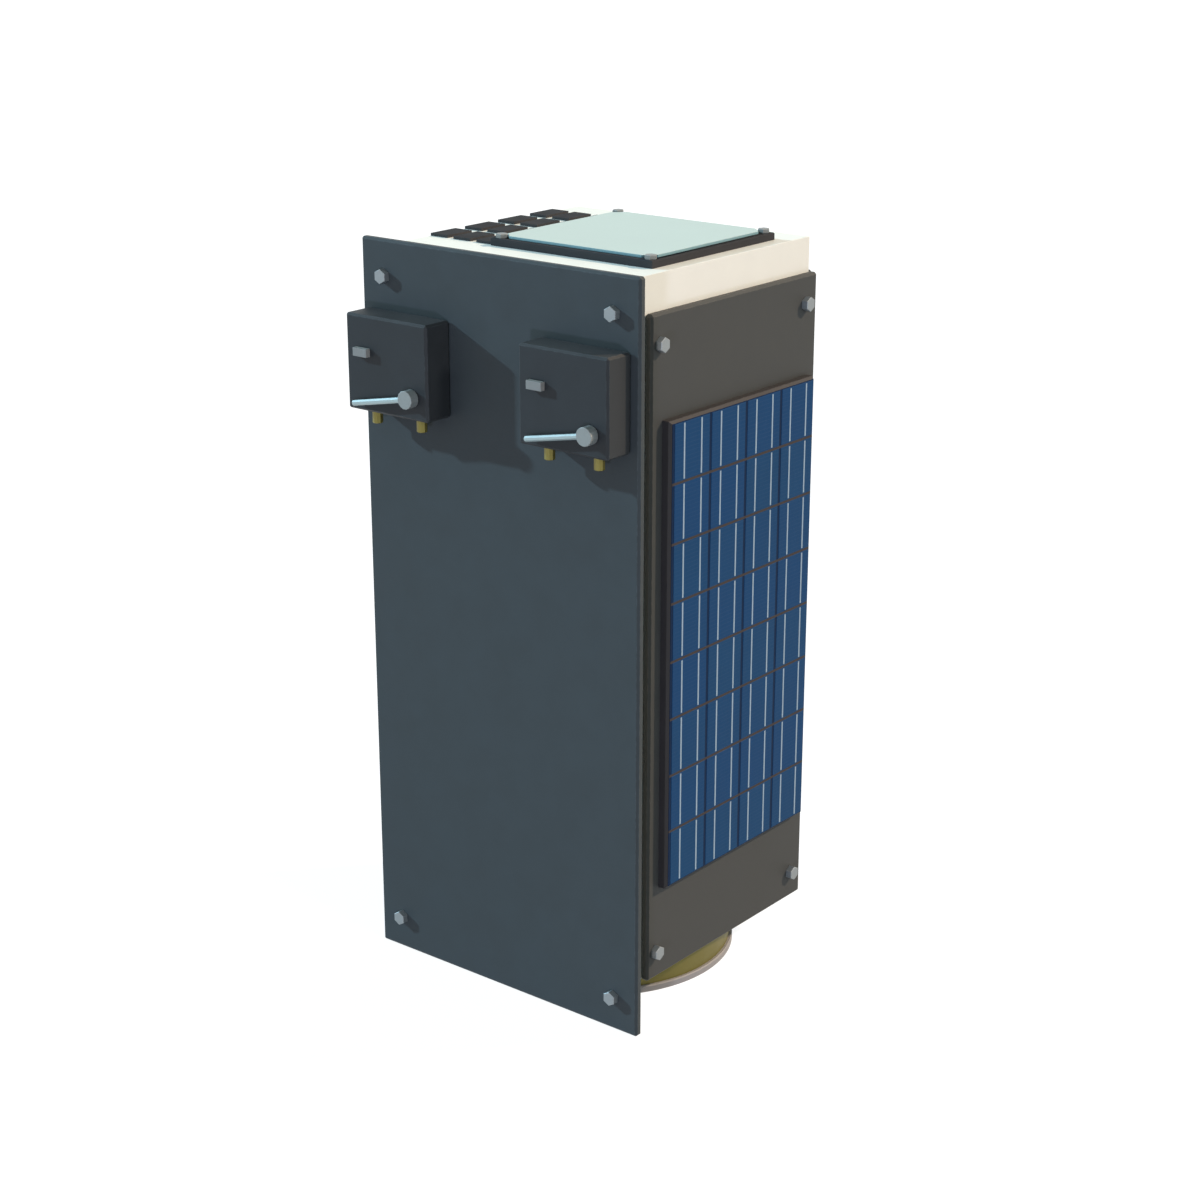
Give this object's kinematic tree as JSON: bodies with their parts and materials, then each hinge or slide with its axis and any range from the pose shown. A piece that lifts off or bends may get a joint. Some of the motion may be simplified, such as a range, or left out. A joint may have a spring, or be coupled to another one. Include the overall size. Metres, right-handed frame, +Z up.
{
  "type": "nano-satellite",
  "caption": "Upright box-shaped nano-satellite with plates and solar modules on its sides, lever switches on the front, a patch antenna on top and a round mounting ring below.",
  "frame": {"origin": "centre of the mounting ring's underside, on the surface it stands on", "axes": "+Z up, -Y towards the front plate with the lever switches, +X to that plate's right as seen from the front"},
  "size_m": [0.1006, 0.1081, 0.2233],
  "materials": {
    "housing_white": "satin white paint",
    "front_plate_dark": "satin dark slate coating",
    "side_plate_grey": "satin grey-brown coating",
    "solar_board": "matt dark laminate",
    "solar_cell": "glossy cover over blue cells",
    "bolt_steel": "satin",
    "switch_case_dark": "moulded, satin",
    "switch_block_grey": "satin",
    "terminal_gold": "satin gold",
    "hub_metal": "satin",
    "lever_metal": "satin, cool tint",
    "ring_silver": "satin",
    "ring_gold": "satin gold",
    "antenna_frame_dark": "matt",
    "antenna_glass": "polished, pale aqua",
    "tile_dark": "matt dark cells"
  },
  "bodies": {
    "root": {"body_shell": "housing_white", "base_flange": "ring_silver", "base_neck": "ring_gold", "front_plate": "front_plate_dark", "front_plate_bolts": "bolt_steel", "antenna_frame": "antenna_frame_dark", "antenna_glass": "antenna_glass", "antenna_bolts": "bolt_steel", "deck_tiles": "tile_dark", "right_plate": "side_plate_grey", "right_plate_bolts": "bolt_steel", "right_solar_panel": "solar_board", "right_solar_cells": "solar_cell", "left_plate": "side_plate_grey", "left_plate_bolts": "bolt_steel", "left_solar_panel": "solar_board", "left_solar_cells": "solar_cell", "rear_plate": "side_plate_grey", "rear_plate_bolts": "bolt_steel", "rear_solar_panel": "solar_board", "rear_solar_cells": "solar_cell", "left_switch_case": "switch_case_dark", "left_switch_block": "switch_block_grey", "left_switch_terminals": "terminal_gold", "left_pivot_pin": "bolt_steel", "right_switch_case": "switch_case_dark", "right_switch_block": "switch_block_grey", "right_switch_terminals": "terminal_gold", "right_pivot_pin": "bolt_steel"},
    "left_lever": {"left_lever_hub": "hub_metal", "left_lever_rod": "lever_metal"},
    "right_lever": {"right_lever_hub": "hub_metal", "right_lever_rod": "lever_metal"}
  },
  "joints": [
    {"name": "left_lever_pivot", "type": "hinge", "parent": "root", "child": "left_lever", "pos_m": [-0.0225, -0.0576, 0.1807], "axis": [0, 1, 0], "range_deg": [0, 30], "stiffness_Nm_per_rad": 0.002, "springref_deg": -11.46},
    {"name": "right_lever_pivot", "type": "hinge", "parent": "root", "child": "right_lever", "pos_m": [0.04185, -0.0576, 0.1807], "axis": [0, 1, 0], "range_deg": [0, 30], "stiffness_Nm_per_rad": 0.002, "springref_deg": -11.46}
  ]
}
